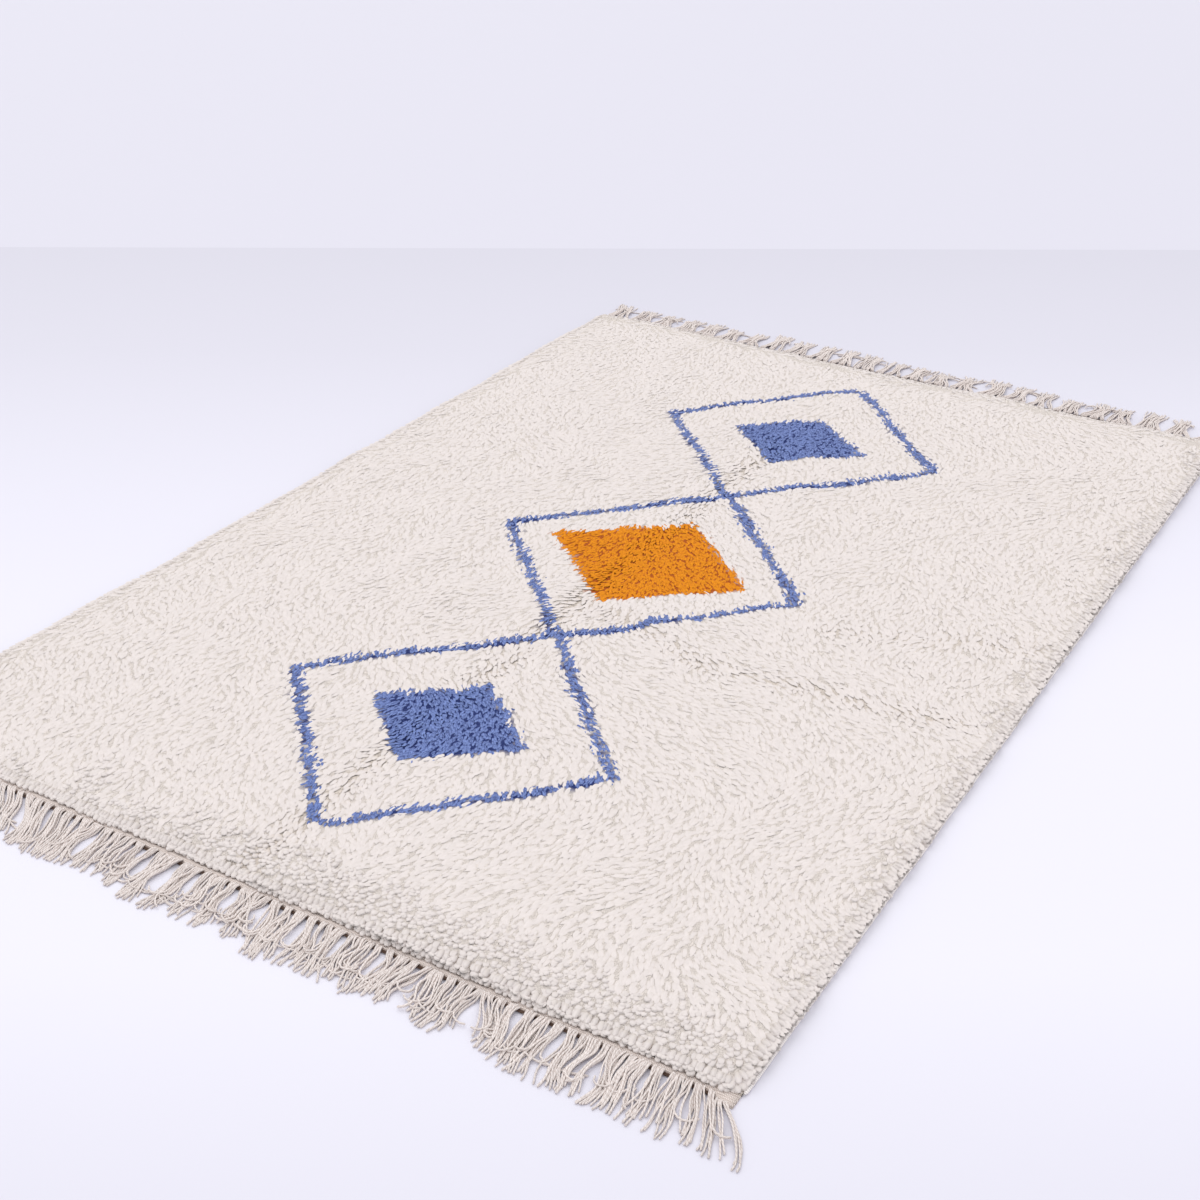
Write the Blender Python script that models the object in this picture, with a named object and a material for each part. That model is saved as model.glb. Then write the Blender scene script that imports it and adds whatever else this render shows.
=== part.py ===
"""Hand-knotted shag rug lying flat: a pile body between two fringed end strips.

Metres, +Z up.  The rug rests on z = 0 with its length along Y and its front
fringe towards -Y.  The middle of the pile is over the origin.
"""

import math
import random

import bmesh
import bpy
from mathutils import Vector, noise

# Pile body
PILE_WIDTH = 2.000
PILE_LENGTH = 2.860
PILE_HEIGHT = 0.0235         # floor to the top of the pile
GROUND_HEIGHT = 0.005        # woven ground that the knots are tied on
GROUND_INSET = 0.007         # the selvages lie this far in under the rim
RIM_HEIGHT = 0.013           # the pile's rim stands out furthest here
SHOULDER_INSET = 0.015       # the top of the pile starts this far in
SHOULDER_DROP = 0.003        # and rounds down by this much
END_OVERHANG = 0.007         # the end rows of knots lean out over the strips
GRID_PITCH = 0.062           # spacing of the points that shape the top
SHOULDER_X = PILE_WIDTH / 2 - SHOULDER_INSET
SHOULDER_Y = PILE_LENGTH / 2 - SHOULDER_INSET

# Lumps over the pile's top, and along its rim
LUMPS = (
    # size across, height
    (0.150, 0.0075),
    (0.420, 0.0040),
)
RIM_LUMP_SIZE = 0.033
RIM_LUMP_REACH = 0.012

# Troughs where the rug was folded and the pile still parts
FOLDS = (
    # from x, from y, to x, to y, depth, half width
    (-0.035, -1.42, -0.035, 0.80, 0.0060, 0.050),
    (0.050, -0.25, 0.330, -0.35, 0.0045, 0.050),
    (0.330, -0.35, 0.900, -0.28, 0.0040, 0.050),
    (0.520, -0.07, 0.930, 0.08, 0.0030, 0.055),
)

# Locks that stand out of the rim along both long sides
LOCK_WIDTH = 0.014
LOCK_REACH = (0.011, 0.018)
LOCK_RISE = (-0.001, 0.003)
LOCK_LEAN = 0.0025
LOCK_TAPER = 0.5

# End strips and their warp strands
PART_GAP = 0.0003
STRIP_WIDTH = 1.976
STRIP_DEPTH = 0.016
STRIP_HEIGHT = 0.0045
STRAND_PITCH = 0.021
STRAND_ROOT_WIDTH = 0.0130
STRAND_TIP_WIDTH = 0.0068
STRAND_TIP_HEIGHT = 0.0035
STRAND_SECTIONS = 5
STRAND_SHORTEST = 0.88       # share of its bunch's reach
STRAND_SWAY = 0.0035

# Front fringe, one row for each bunch from left to right.  A bunch starts
# where the one before it ends.
FRONT_BUNCHES = (
    # roots end at x, tips from x, tips to x, reach
    (-0.900, -1.020, -0.945, 0.124),
    (-0.810, -0.905, -0.815, 0.130),
    (-0.720, -0.780, -0.700, 0.124),
    (-0.640, -0.675, -0.610, 0.120),
    (-0.560, -0.575, -0.505, 0.118),
    (-0.480, -0.486, -0.438, 0.128),
    (-0.410, -0.424, -0.397, 0.133),
    (-0.350, -0.384, -0.360, 0.125),
    (-0.268, -0.330, -0.264, 0.119),
    (-0.208, -0.252, -0.212, 0.123),
    (-0.148, -0.190, -0.162, 0.137),
    (-0.095, -0.144, -0.116, 0.139),
    (-0.010, -0.086, -0.004, 0.127),
    (0.060, 0.030, 0.078, 0.121),
    (0.145, 0.096, 0.154, 0.137),
    (0.248, 0.168, 0.256, 0.129),
    (0.310, 0.272, 0.312, 0.125),
    (0.412, 0.324, 0.392, 0.115),
    (0.518, 0.424, 0.512, 0.123),
    (0.600, 0.552, 0.612, 0.116),
    (0.684, 0.626, 0.676, 0.133),
    (0.764, 0.708, 0.768, 0.133),
    (0.844, 0.784, 0.850, 0.131),
    (0.916, 0.866, 0.932, 0.128),
    (0.956, 0.950, 0.990, 0.124),
    (0.988, 1.012, 1.062, 0.112),
)

# Back fringe, in bunches of like width
BACK_BUNCH_WIDTH = 0.080
BACK_REACH = (0.112, 0.142)
BACK_SQUEEZE = (0.52, 0.74)  # width of a bunch's tips over its roots
BACK_SHIFT = 0.007           # most that its tips swing to one side
BACK_CORNER_SPREAD = 0.045   # the corner bunches splay out by this much


def clear_scene():
    """Remove every object that the file holds."""
    for item in list(bpy.data.objects):
        bpy.data.objects.remove(item, do_unlink=True)


def make_material(name, colour, roughness):
    """Yarn finish with its base colour and roughness."""
    material = bpy.data.materials.new(name)
    material.use_nodes = True
    shader = material.node_tree.nodes["Principled BSDF"]
    shader.inputs["Base Color"].default_value = (*colour, 1.0)
    shader.inputs["Roughness"].default_value = roughness
    shader.inputs["Metallic"].default_value = 0.0
    return material


def make_object(name, bm, material, collection):
    """Turn a bmesh into a named object in the rug's collection."""
    bmesh.ops.recalc_face_normals(bm, faces=bm.faces)
    mesh = bpy.data.meshes.new(name)
    bm.to_mesh(mesh)
    bm.free()
    mesh.materials.append(material)
    item = bpy.data.objects.new(name, mesh)
    collection.objects.link(item)


def smoothstep(value):
    """Ease from 0 to 1."""
    value = min(max(value, 0.0), 1.0)
    return value * value * (3.0 - 2.0 * value)


def distance_to_line(x, y, start, end):
    """Plan distance from a point to a straight stretch."""
    point, a, b = Vector((x, y)), Vector(start), Vector(end)
    along = b - a
    share = min(max((point - a).dot(along) / along.length_squared, 0.0), 1.0)
    return (point - a - along * share).length


def pile_height(x, y):
    """Height of the pile's top: lumps all over, less the fold troughs."""
    height = PILE_HEIGHT
    for size, lift in LUMPS:
        height += lift * noise.noise(Vector((x / size, y / size, size)))
    troughs = [
        depth * smoothstep(1.0 - distance_to_line(x, y, (x0, y0), (x1, y1)) / half_width)
        for x0, y0, x1, y1, depth, half_width in FOLDS
    ]
    return height - max(troughs)


def outward(x, y):
    """Which way a point of the shoulder line faces out of the rug, along X and Y."""
    near = GRID_PITCH / 100
    out_x = math.copysign(1.0, x) if abs(x) > SHOULDER_X - near else 0.0
    out_y = math.copysign(1.0, y) if abs(y) > SHOULDER_Y - near else 0.0
    return out_x, out_y


def rim_sections(x, y):
    """Points down the side from a shoulder point: rim, ground's top, ground's foot."""
    out_x, out_y = outward(x, y)
    lump = RIM_LUMP_REACH * noise.noise(Vector((x, y, 0.0)) / RIM_LUMP_SIZE)
    rim = Vector((
        x + out_x * (SHOULDER_INSET + lump),
        y + out_y * (SHOULDER_INSET + END_OVERHANG + lump),
        RIM_HEIGHT + lump / 2,
    ))
    ground_x = x + out_x * (SHOULDER_INSET - GROUND_INSET)
    ground_y = y + out_y * SHOULDER_INSET
    return rim, Vector((ground_x, ground_y, GROUND_HEIGHT)), Vector((ground_x, ground_y, 0.0))


def top_grid():
    """Flat grid up to the shoulder line, with a narrow rim cell in each edge cell."""
    bm = bmesh.new()
    columns = round(2 * SHOULDER_X / GRID_PITCH)
    rows = round(2 * SHOULDER_Y / GRID_PITCH)
    bmesh.ops.create_grid(bm, x_segments=columns, y_segments=rows, size=1.0)
    for point in bm.verts:
        point.co.x *= SHOULDER_X
        point.co.y *= SHOULDER_Y
    boundary = [edge for edge in bm.edges if edge.is_boundary]
    split = bmesh.ops.subdivide_edges(bm, edges=boundary, cuts=2)
    for point in split["geom_inner"]:
        if isinstance(point, bmesh.types.BMVert):
            # an edge cell's two new points close in on its middle
            axis = 1 if outward(*point.co.xy)[0] else 0
            half, count = ((SHOULDER_X, columns), (SHOULDER_Y, rows))[axis]
            cell = 2 * half / count
            middle = (math.floor((point.co[axis] + half) / cell) + 0.5) * cell - half
            point.co[axis] = middle + math.copysign(LOCK_WIDTH / 2, point.co[axis] - middle)
    return bm


def is_lock_edge(edge):
    """True on the narrow rim cells of the long sides, where the locks grow."""
    a, b = (point.co for point in edge.verts)
    on_side = min(abs(a.x), abs(b.x)) > SHOULDER_X
    on_end = max(abs(a.y), abs(b.y)) > SHOULDER_Y - SHOULDER_INSET
    return on_side and not on_end and abs(a.y - b.y) < 1.2 * LOCK_WIDTH


def add_side_locks(bm, faces, rng):
    """Pull a tapered lock out of each narrow rim face."""
    for face in faces:
        lock = bmesh.ops.extrude_discrete_faces(bm, faces=[face])["faces"][0]
        middle = lock.calc_center_median()
        reach = Vector((
            math.copysign(rng.uniform(*LOCK_REACH), middle.x),
            rng.uniform(-LOCK_LEAN, LOCK_LEAN),
            rng.uniform(*LOCK_RISE),
        ))
        for point in lock.verts:
            point.co = middle + (point.co - middle) * LOCK_TAPER + reach


def build_pile(collection):
    """Lumpy slab with its rim, selvage edges, side locks and flat underside."""
    bm = top_grid()
    edges = [edge for edge in bm.edges if edge.is_boundary]
    above = {point for edge in edges for point in edge.verts}
    shoulder = {point: (point.co.x, point.co.y) for point in above}
    for point in bm.verts:
        point.co.z = pile_height(point.co.x, point.co.y)
    for point in above:
        point.co.z -= SHOULDER_DROP
    lock_faces = []
    for section in range(3):
        ring = bmesh.ops.extrude_edge_only(bm, edges=edges)["geom"]
        points = {item for item in ring if isinstance(item, bmesh.types.BMVert)}
        for point in points:
            parent = next(e.other_vert(point) for e in point.link_edges if e.other_vert(point) in above)
            shoulder[point] = shoulder[parent]
            point.co = rim_sections(*shoulder[point])[section]
        above = points
        edges = [item for item in ring if isinstance(item, bmesh.types.BMEdge) and item.is_boundary]
        if section == 0:
            lock_faces = [edge.link_faces[0] for edge in edges if is_lock_edge(edge)]
    bmesh.ops.contextual_create(bm, geom=edges)
    bmesh.ops.recalc_face_normals(bm, faces=bm.faces)
    add_side_locks(bm, lock_faces, random.Random(11))
    make_object("pile", bm, make_material("pile_wool", (0.84, 0.79, 0.74), 0.95), collection)


def back_bunches(rng):
    """Bunch rows for the back fringe, worked out at an even spacing."""
    count = round(STRIP_WIDTH / BACK_BUNCH_WIDTH)
    width = STRIP_WIDTH / count
    rows = []
    for index in range(count):
        start = -STRIP_WIDTH / 2 + index * width
        middle = start + width / 2
        corner = max(0.0, 1.0 - (STRIP_WIDTH / 2 - abs(middle)) / BACK_BUNCH_WIDTH)
        half = width / 2 * rng.uniform(*BACK_SQUEEZE)
        middle += rng.uniform(-BACK_SHIFT, BACK_SHIFT) * (1.0 - corner)
        middle += math.copysign(corner * BACK_CORNER_SPREAD, middle)
        rows.append((start + width, middle - half, middle + half, rng.uniform(*BACK_REACH)))
    return rows


def strand_routes(bunches, rng):
    """Root x, tip x, bunch's reach, share of it and sway of every strand."""
    routes = []
    start = -STRIP_WIDTH / 2
    for root_end, tip_start, tip_end, reach in bunches:
        count = max(1, round((root_end - start) / STRAND_PITCH))
        sway = rng.uniform(-STRAND_SWAY, STRAND_SWAY)
        for index in range(count):
            place = (index + 0.5) / count
            root = start + place * (root_end - start)
            tip = tip_start + place * (tip_end - tip_start)
            routes.append((root, tip, reach, rng.uniform(STRAND_SHORTEST, 1.0), sway))
        start = root_end
    return routes


def strand_point(route, share):
    """Plan place of a strand at a share of its length: sideways and outward."""
    root, tip, reach, length, sway = route
    along = share * length
    x = root + (tip - root) * smoothstep(along ** 0.8)
    x += sway * math.sin(2 * math.pi * along) * math.sin(math.pi * along)
    return Vector((x, reach * along))


def cut_root_cells(bm, end, routes):
    """Cut the strip's outer face at both edges of every strand's root."""
    cuts = [
        route[0] + side * STRAND_ROOT_WIDTH / 2
        for route in routes
        for side in (-1, 1)
    ]
    for cut_x in cuts:
        outer = outer_faces(bm, end)
        geom = outer + list({item for face in outer for item in (*face.verts, *face.edges)})
        bmesh.ops.bisect_plane(bm, geom=geom, plane_co=(cut_x, 0.0, 0.0), plane_no=(1.0, 0.0, 0.0))
    return outer_faces(bm, end)


def outer_faces(bm, end):
    """Faces of the strip that look away from the pile."""
    bm.normal_update()
    return [face for face in bm.faces if face.normal.y * end > 0.9]


def extrude_strand(bm, face, outer_y, end, route):
    """Lead one strand out of its root face, level on the floor, to its tip."""
    for section in range(1, STRAND_SECTIONS + 1):
        share = section / STRAND_SECTIONS
        place = strand_point(route, share)
        along = place - strand_point(route, share - 0.1)
        across = Vector((along.y, -along.x)).normalized()
        half = (STRAND_ROOT_WIDTH + (STRAND_TIP_WIDTH - STRAND_ROOT_WIDTH) * share) / 2
        height = STRIP_HEIGHT + (STRAND_TIP_HEIGHT - STRIP_HEIGHT) * share
        face = bmesh.ops.extrude_discrete_faces(bm, faces=[face])["faces"][0]
        middle_x = face.calc_center_median().x
        for point in face.verts:
            corner = place + across * math.copysign(half, point.co.x - middle_x)
            low = point.co.z < STRAND_TIP_HEIGHT / 2
            point.co = (corner.x, outer_y + end * corner.y, 0.0 if low else height)


def build_fringe(name, end, bunches, rng, material, collection):
    """Woven end strip with its warp strands; end is -1 in front and 1 behind."""
    middle_y = end * (PILE_LENGTH / 2 + PART_GAP + STRIP_DEPTH / 2)
    outer_y = middle_y + end * STRIP_DEPTH / 2
    bm = bmesh.new()
    bmesh.ops.create_cube(bm, size=1.0)
    for point in bm.verts:
        point.co.x *= STRIP_WIDTH
        point.co.y = middle_y + point.co.y * STRIP_DEPTH
        point.co.z = (point.co.z + 0.5) * STRIP_HEIGHT
    routes = strand_routes(bunches, rng)
    cells = cut_root_cells(bm, end, routes)
    roots = [min(cells, key=lambda face: abs(face.calc_center_median().x - route[0])) for route in routes]
    for root, route in zip(roots, routes):
        extrude_strand(bm, root, outer_y, end, route)
    make_object(name, bm, material, collection)


def main():
    """Build the three pieces in a collection of their own."""
    clear_scene()
    collection = bpy.data.collections.new("beni_ourain_rug")
    bpy.context.scene.collection.children.link(collection)
    build_pile(collection)
    warp = make_material("warp_yarn", (0.66, 0.59, 0.54), 0.9)
    build_fringe("fringe_front", -1, FRONT_BUNCHES, random.Random(21), warp, collection)
    build_fringe("fringe_back", 1, back_bunches(random.Random(31)), random.Random(32), warp, collection)


main()
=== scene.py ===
"""Looks for the hand-knotted shag rug: its knots, woven ground, selvages and warp fringes.

Metres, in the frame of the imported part: the rug lies on z = 0, its length is along Y
and its front fringe points to -Y.
"""

import math
import random
from types import SimpleNamespace as Form

import bpy
import numpy as np
from mathutils import Matrix, noise


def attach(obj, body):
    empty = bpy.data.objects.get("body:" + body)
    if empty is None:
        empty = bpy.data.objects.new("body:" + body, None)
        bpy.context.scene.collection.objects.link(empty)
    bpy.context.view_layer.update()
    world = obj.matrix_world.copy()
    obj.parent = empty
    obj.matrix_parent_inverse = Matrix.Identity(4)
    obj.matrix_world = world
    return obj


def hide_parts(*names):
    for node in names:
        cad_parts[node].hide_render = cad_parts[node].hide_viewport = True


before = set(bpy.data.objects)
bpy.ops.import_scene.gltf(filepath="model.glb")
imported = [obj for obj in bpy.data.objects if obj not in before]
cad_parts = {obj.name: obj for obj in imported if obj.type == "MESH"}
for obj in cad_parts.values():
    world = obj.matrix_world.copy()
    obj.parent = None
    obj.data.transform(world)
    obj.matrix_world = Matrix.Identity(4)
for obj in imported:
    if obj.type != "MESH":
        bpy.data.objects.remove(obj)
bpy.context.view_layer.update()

# Pile body, as in the part but for its softer shoulders
PILE_WIDTH = 2.000
PILE_LENGTH = 2.860
HALF_WIDTH = PILE_WIDTH / 2
HALF_LENGTH = PILE_LENGTH / 2
PILE_HEIGHT = 0.0235
GROUND_HEIGHT = 0.005
GROUND_INSET = 0.007  # of the selvages under the rim
SHOULDERS = (
    # drop of the pile's top at the edge, width of the slope
    (0.0095, 0.038),  # front and back ends
    (0.0060, 0.030),  # long sides
)
LUMPS = (
    # size across, height
    (0.150, 0.0075),
    (0.420, 0.0040),
)
FOLDS = (
    # from x, from y, to x, to y, depth, half width
    (-0.035, -1.42, -0.035, 0.80, 0.0060, 0.050),
    (0.050, -0.25, 0.330, -0.35, 0.0045, 0.050),
    (0.330, -0.35, 0.900, -0.28, 0.0040, 0.050),
    (0.520, -0.07, 0.930, 0.08, 0.0030, 0.055),
)

# End strips and bunches of their warp ends, as in the part but for the flap
PART_GAP = 0.0003
STRIP_WIDTH = 1.976
STRIP_HALF = STRIP_WIDTH / 2
STRIP_DEPTH = 0.016
INNER_Y = HALF_LENGTH + PART_GAP
FLAP_START = 0.948  # the front strip is deeper from here to its right end
FLAP_DEPTH = 0.013
FLAP_SLOPE = 0.020
FRONT_BUNCHES = (
    # roots end at x, tips from x, tips to x, reach
    (-0.900, -1.020, -0.945, 0.124),
    (-0.810, -0.905, -0.815, 0.130),
    (-0.720, -0.780, -0.700, 0.124),
    (-0.640, -0.675, -0.610, 0.120),
    (-0.560, -0.575, -0.505, 0.118),
    (-0.480, -0.486, -0.438, 0.128),
    (-0.410, -0.424, -0.397, 0.133),
    (-0.350, -0.384, -0.360, 0.125),
    (-0.268, -0.330, -0.264, 0.119),
    (-0.208, -0.252, -0.212, 0.123),
    (-0.148, -0.190, -0.162, 0.137),
    (-0.095, -0.144, -0.116, 0.139),
    (-0.010, -0.086, -0.004, 0.127),
    (0.060, 0.030, 0.078, 0.121),
    (0.145, 0.096, 0.154, 0.137),
    (0.248, 0.168, 0.256, 0.129),
    (0.310, 0.272, 0.312, 0.125),
    (0.412, 0.324, 0.392, 0.115),
    (0.518, 0.424, 0.512, 0.123),
    (0.600, 0.552, 0.612, 0.116),
    (0.684, 0.626, 0.676, 0.133),
    (0.764, 0.708, 0.768, 0.133),
    (0.844, 0.784, 0.850, 0.131),
    (0.916, 0.866, 0.932, 0.128),
    (0.956, 0.950, 0.990, 0.124),
    (0.988, 1.012, 1.062, 0.112),
)
BACK_BUNCH_WIDTH = 0.080
BACK_REACH = (0.112, 0.142)
BACK_SQUEEZE = (0.52, 0.74)
BACK_SHIFT = 0.007
BACK_CORNER_SPREAD = 0.045

# Motifs: a chain of open lozenges down the middle, each with a solid one inside
CHAIN_START = -1.245
LOZENGE_LENGTH = 0.830
LOZENGE_HALF_WIDTH = (0.004, 0.400)  # where two of them meet, and at the middle
LINE_HALF_WIDTH = 0.0122
SOLID_LOZENGES = (
    # middle y, half width, half length, colour: 1 blue, 2 ochre
    (-0.830, 0.200, 0.165, 1),
    (0.000, 0.275, 0.225, 2),
    (0.830, 0.200, 0.165, 1),
)
EDGE_WANDER = 0.006  # stray of the colours' borders
EDGE_WANDER_SIZE = 0.045

# Lie of the locks
LIE_MAIN = math.radians(-82)  # mostly to the front
LIE_SWIRLS = (
    # strength in radians, size across, layer of the noise
    (1.15, 0.46, 3.0),
    (0.95, 0.13, 5.0),
)
CROSS_MIDDLE = (0.50, -0.36)  # one part of the field lies across the rug
CROSS_SIZE = (0.42, 0.30)
CROSS_TURN = math.radians(62)
PARTING_PUSH = 0.14  # of the locks along the folds
PARTING_REACH = 1.4  # half widths of the fold
PARTING_CORE = 0.010  # nearer to its line the push fades out
EDGE_LEAN = 2.2  # outwards, of the locks near the edges
EDGE_LEAN_WIDTHS = (0.075, 0.085)  # along the sides and the ends

# Where the locks are short and blunt
BLUNT_FRONT_WIDTH = 0.17
BLUNT_FRONT_REACH = 1.15  # widths of the band
BLUNT_FRONT_START = -1.05  # x where it grows from nothing
BLUNT_FRONT_GROWTH = 1.20  # over this width
BLUNT_SIDE = (0.5, 0.16)  # strength and width of the right side's band
BLUNT_BACK = (0.8, 0.07)
BLUNT_PATCHES = (0.36, 0.11)  # strength and size
BLUNT_CUTOFF = (0.25, 0.75)  # a knot is blunt past a value drawn between these

# Knots
ROW_PITCH = 0.0119
KNOT_PITCH = 0.0096
KNOT_JITTER = 0.36  # share of the pitch
ROW_MARGINS = (0.010, 0.008)  # of the knots, at the front and back ends
COLUMN_MARGINS = (0.012, 0.010)  # at the left and right sides
CORNER_MARGIN = 0.006
LOCK_BURIED = 0.010  # depth of the roots under the pile's top
# A form's points have heights over the pile's top (rises) and shares (lifts) of a lift
# that each lock has for itself; it shows the colour of the place at shown_at from its root
FORMS = {
    # slender locks that lie over each other like fur
    "laid": Form(
        length=(0.027, 0.038), half_width=(0.0051, 0.0067), flatness=0.24, sides=3,
        shares=(0.0, 0.32, 0.72, 1.0), widths=(0.95, 0.85),
        rises=(-LOCK_BURIED, -0.0024, -0.0019, -0.0024), lifts=(0.0, 1.0, 1.0, 0.5),
        tip_stray=(-0.0005, 0.0007), lift=0.0004, warm_lift=2.0, lumps=0.0,
        turn=0.26, bend=0.0030, tint=(0.50, 1.0), fluff=0.80, shown_at=0.018,
    ),
    # short round-ended locks that stand up and show their cut ends; lower tints draw them a little
    # darker, as painted shade
    "blunt": Form(
        length=(0.013, 0.020), half_width=(0.0067, 0.0086), flatness=0.38, sides=4,
        shares=(0.0, 0.22, 0.55, 0.86, 1.0), widths=(0.85, 1.0, 0.80),
        rises=(-LOCK_BURIED, -0.0050, -0.0024, -0.0016, -0.0020), lifts=(0.0, 1.0, 1.0, 1.0, 1.0),
        tip_stray=None, lift=0.0007, warm_lift=0.0, lumps=0.0010,
        turn=0.40, bend=0.0020, tint=(0.0, 0.65), fluff=0.62, shown_at=0.008,
    ),
}
PIECE_TRIANGLES = 180_000  # in one mesh, at most
COPY_SPREAD = 0.0022  # between the locks of one knot
# The painted shade in the grooves and at the roots turns warmer and darker in the folds' creases and in
# random patches
WARM_DEPTH = 0.006  # of a fold whose painted shade is warm throughout
WARM_IN_FOLD = (0.3, 1.0)
WARM_PATCHES = (0.35, 0.09, -0.05)  # strength, size, shift
CORE_DROP = 0.0025  # of the closed wool under the pile's top
CORE_INSET = 0.010
CORE_SINK = 0.0008  # under the ground's height
CORE_SHOULDER = (0.002, 0.010)  # drop at its edge, width of the slope
CORE_FOLD_DROP = 0.3  # added share of the folds' depth
CORE_WARM_DEPTH = 0.005
CORE_PITCH = 0.036
CORE_FINE_PITCH = 0.022  # under the lozenges
CHAIN_HALF_WIDTH = 0.420
CORE_EDGE_LINES = (0.0, 0.007, 0.015, 0.024)  # closer together over the slopes
CORNER_RADIUS = 0.034  # of the pile's outline
CORNER_REACH = 1.3  # of a lock in a corner, over its distance from the outline
END_SPILL = 0.003  # of the locks' tips past the pile's ends
RIM_LEVELS = 3  # rows one over the other along each edge
RIM_PITCH = 0.0096
MOST_TURNED = 0.95
RIM_JITTER = (-0.45, 0.45)  # share of the pitch
LEVEL_JITTER = (-0.25, 0.25)
RIM_REACH = (0.015, 0.021)
RIM_FOOT = 0.0084  # height of the lowest row
RIM_FOOT_WANDER = 0.0034
RIM_TOP_DROP = 0.0025  # of the top row under the pile's top
RIM_HALF_WIDTH = (0.0067, 0.0086)
RIM_FLATNESS = 0.55
RIM_WIDTHS = (0.8, 1.0, 0.80)
# lower than the laid locks' tints: painted shade, as on the blunt locks
RIM_TINT_AND_SHADE = (0.0, 0.65)
RIM_FLUFF = 0.30  # less than the field's: they are seen from the side
RIM_END = 0.009  # last locks before the corner
RIM_STEP_BACK = 0.011  # of the top row behind the lowest
RIM_SHARES = (0.0, 0.25, 0.60, 0.88, 1.0)
RIM_DROP = (0.0, -0.0006, -0.0026, -0.0048, -0.0058)  # of the top row's points
RIM_FOOT_DROP = 0.25  # share of that drop in the lowest row
RIMS = (
    # name, side of the rug, on an end, start inside the outline, wander of the edge,
    # stray of the tips along it
    ("rim_front", -1, True, 0.011, 0.0050, 0.0022),
    ("rim_back", 1, True, 0.011, 0.0050, 0.0022),
    ("rim_left", -1, False, 0.0180, 0.0025, 0.0045),
    ("rim_right", 1, False, 0.0180, 0.0025, 0.0045),
)
WISPS_ROUND_LOCK = 7.0
WISP_LENGTH = 0.016

# Cloth
FLOOR_CLEARANCE = 0.0002
GROUND_PITCH = 0.060
GROUND_THICKNESS = 0.0036
SELVAGE_RADIUS = 0.0034
SELVAGE_INSET = 0.0045  # of its middle from the pile's outline
SELVAGE_END = 0.002
OVERCAST_PITCH = 0.0042
HEADER_RADIUS = 0.0024
HEADER_OFFSET = 0.0032  # of its middle from the strip's edge
HEADER_END = 0.006
STRIP_OVERLAP = 0.012  # the end strips start this far in under the pile
STRIP_RIDGES = 4
STRIP_BASE = 0.0028
STRIP_RIDGE_HEIGHT = 0.0018

# Warp yarns of the fringes
GROUP_PITCH = 0.0145
GROUP_PAIRING = 0.0026  # how far neighbours draw together
GROUP_STRAY = 0.0018
GROUP_CROSSING = 0.12  # stray of their tips, over the bunch's width
GROUP_BEND = 0.0050
BUNCH_SWAY = 0.005
YARNS_IN_GROUP = 5
YARN_SPACING = 0.0022
TIP_SPACING = 0.0046
TIP_STRAY = 0.0075
YARN_RADIUS = (0.0018, 0.0024)
PLY_PITCH = 0.0090
YARN_SHARES = (0.80, 1.04)  # a yarn's length over its bunch's reach
CUT_END = 0.985  # share of a yarn where its blunt end starts
TANGLE_MIDDLE = 0.14  # x of the most tangled yarns in front
TANGLE_WIDTH = 0.42
BACK_TANGLE = 0.15
WAVES = (0.7, 1.9)  # along a yarn
WAVE_SIZE = (0.0010, 0.0040)
LOOPED = (0.03, 0.26)  # share of the yarns, and what the tangle adds
LOOP_START = (0.48, 0.66)  # share of its length
LOOP_SHARE = 0.40  # of a looped yarn's reach in the loop
LOOP_TURN = (1.8, 3.9)  # radians
SWEPT = (0.06, 0.10)  # aside: share of the yarns, and what the tangle adds
SWEEP_START = 0.58  # share of its length
SWEEP_STRENGTH = 1.4
SWEEP_REACH = 0.26
SWEEP_FADE = 0.12  # none sweep at the corners
YARN_LAYERS = 3
LAYER_RISE = 0.0028
LOOP_RISE = 0.0030
CORD_RISE = (0.0036, 0.0066)  # of the yarns over the header cord

TAU = 2 * math.pi
rng = np.random.default_rng(7)


# ---- plan fields

def noise_at(x, y, size, layer):
    """Smooth noise, about -0.7 to 0.7, at arrays of plan points; each layer is another one."""
    across = (np.asarray(x) / size).ravel().tolist()
    along = (np.asarray(y) / size).ravel().tolist()
    values = [noise.noise((a, b, layer)) for a, b in zip(across, along)]
    return np.array(values).reshape(np.shape(x))


def noise_along(place, size, layer):
    """The same noise at an array of places on one line."""
    return noise_at(place, place * 0, size, layer)


def smoothstep(value):
    """Ease from 0 to 1."""
    value = np.clip(value, 0.0, 1.0)
    return value * value * (3.0 - 2.0 * value)


def nearness(distance, width, widths=1.0):
    """1 near a line, and 0 from so many widths away."""
    return smoothstep(widths - distance / width)


def fold_offsets(x, y, fold):
    """Plan vector from the nearest point of a fold's line to each point, and its length."""
    x0, y0, x1, y1 = fold[:4]
    along = np.array((x1 - x0, y1 - y0))
    share = ((x - x0) * along[0] + (y - y0) * along[1]) / (along @ along)
    share = np.clip(share, 0.0, 1.0)
    off_x, off_y = x - x0 - share * along[0], y - y0 - share * along[1]
    return off_x, off_y, np.hypot(off_x, off_y)


def fold_depth(x, y):
    """Depth of the fold troughs."""
    depth = np.zeros(np.shape(x))
    for fold in FOLDS:
        distance = fold_offsets(x, y, fold)[2]
        depth = np.maximum(depth, fold[4] * nearness(distance, fold[5]))
    return depth


def pile_height(x, y):
    """Height of the pile's top: the part's, with a softer slope to its edges."""
    height = np.full(np.shape(x), PILE_HEIGHT)
    for size, lift in LUMPS:
        height += lift * noise_at(x, y, size, size)
    insets = (HALF_LENGTH - np.abs(y), HALF_WIDTH - np.abs(x))
    for inset, (drop, width) in zip(insets, SHOULDERS):
        height -= drop * nearness(inset, width)
    return height - fold_depth(x, y)


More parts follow.
